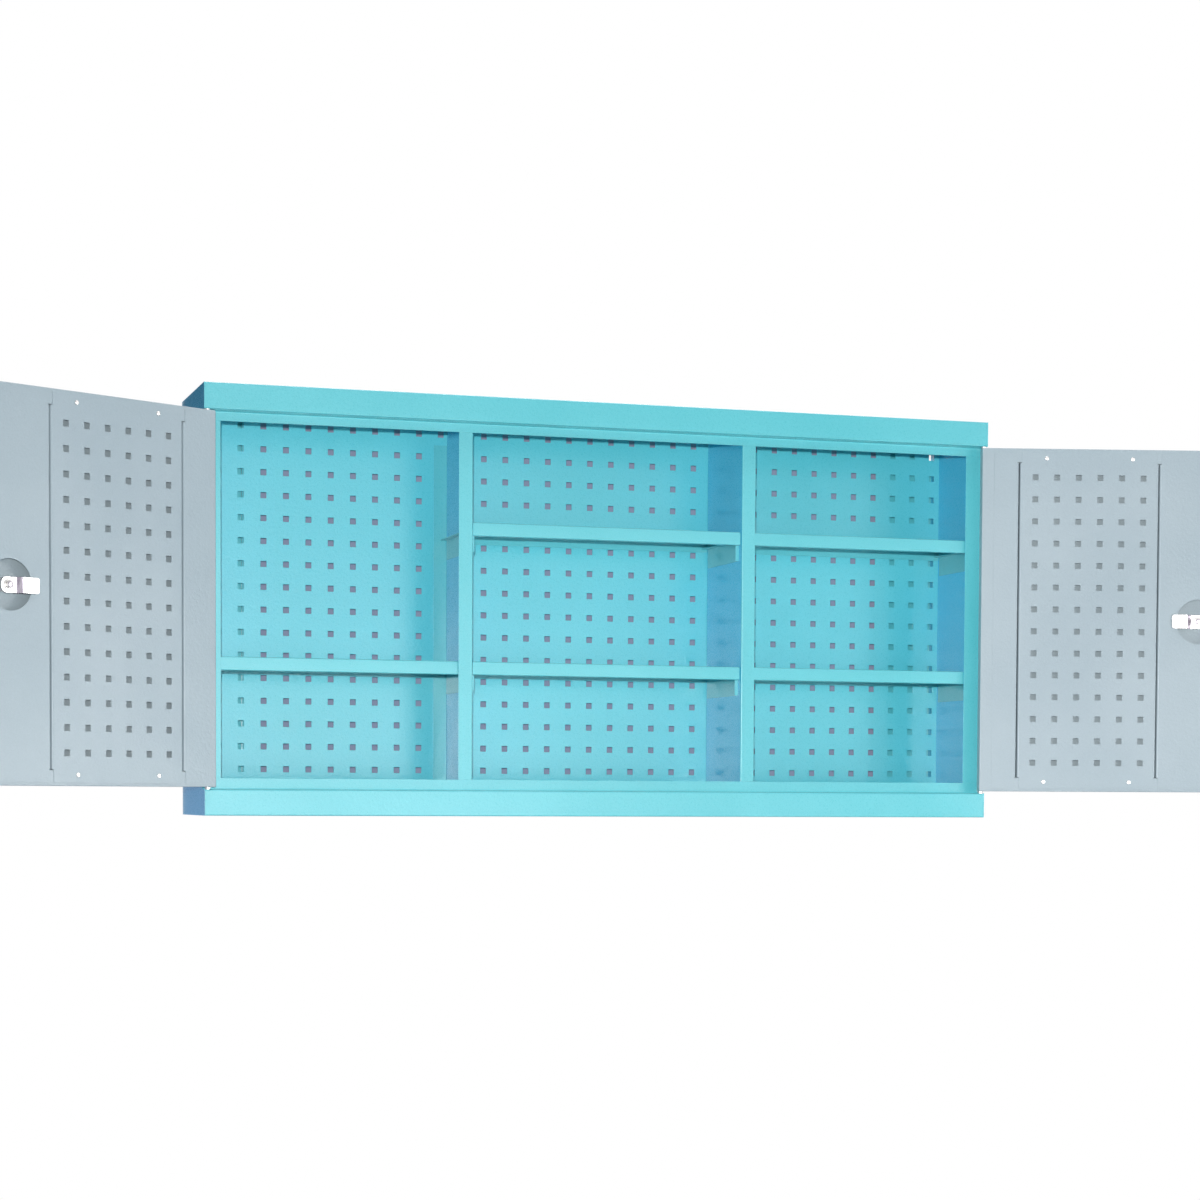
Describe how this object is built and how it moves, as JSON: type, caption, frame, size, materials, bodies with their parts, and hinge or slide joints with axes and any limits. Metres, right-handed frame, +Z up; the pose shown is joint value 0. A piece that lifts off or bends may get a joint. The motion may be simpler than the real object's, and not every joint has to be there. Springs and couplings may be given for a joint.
{
  "type": "wall cabinet",
  "caption": "Steel wall cabinet with perforated tool-hanging back panel, divided bays with shelves, and swinging doors with perforated inner panels and turn locks.",
  "frame": {"origin": "on the wall, in the middle of the four wall fixings", "axes": "+X to the cabinet's right as seen from the front, +Y into the wall, +Z up; the front faces -Y"},
  "size_m": [2.5995, 0.5672, 0.685],
  "materials": {
    "carcass_paint": "fine-textured turquoise powder coat, semi-gloss",
    "door_paint": "fine-textured light blue-grey powder coat, semi-gloss",
    "zinc": "bright zinc plate, slightly brushed"
  },
  "bodies": {
    "carcass": {"top_cap": "carcass_paint", "bottom_cap": "carcass_paint", "left_side_panel": "carcass_paint", "right_side_panel": "carcass_paint", "back_panel": "carcass_paint", "left_wall_rail": "carcass_paint", "right_wall_rail": "carcass_paint", "left_divider": "carcass_paint", "right_divider": "carcass_paint", "left_lower_shelf": "carcass_paint", "middle_upper_shelf": "carcass_paint", "middle_lower_shelf": "carcass_paint", "right_upper_shelf": "carcass_paint", "right_lower_shelf": "carcass_paint", "left_shelf_supports": "carcass_paint", "middle_shelf_supports": "carcass_paint", "right_shelf_supports": "carcass_paint", "pivot_studs": "zinc"},
    "left_door": {"left_door_skin": "door_paint", "left_hinge_stile": "door_paint", "left_tool_panel": "door_paint", "left_lock_panel": "door_paint", "left_lock_housing": "zinc"},
    "left_lock": {"left_lock_spindle": "zinc", "left_lock_cam": "zinc"},
    "right_door": {"right_door_skin": "door_paint", "right_hinge_stile": "door_paint", "right_tool_panel": "door_paint", "right_lock_panel": "door_paint", "right_lock_housing": "zinc"},
    "right_lock": {"right_lock_spindle": "zinc", "right_lock_cam": "zinc"}
  },
  "joints": [
    {"name": "left_door_hinge", "type": "hinge", "parent": "carcass", "child": "left_door", "pos_m": [-0.6755, -0.2295, 0], "axis": [0, 0, -1], "range_deg": [-151.3, 28.7]},
    {"name": "left_lock_turn", "type": "hinge", "parent": "left_door", "child": "left_lock", "pos_m": [-1.00706, -0.41102, 0], "axis": [0.4802, -0.8771, 0], "range_deg": [0, 180]},
    {"name": "right_door_hinge", "type": "hinge", "parent": "carcass", "child": "right_door", "pos_m": [0.6755, -0.2295, 0], "axis": [0, 0, 1], "range_deg": [-165.9, 14.1]},
    {"name": "right_lock_turn", "type": "hinge", "parent": "right_door", "child": "right_lock", "pos_m": [1.04211, -0.32159, 0], "axis": [-0.2436, -0.9699, 0], "range_deg": [0, 180]}
  ]
}
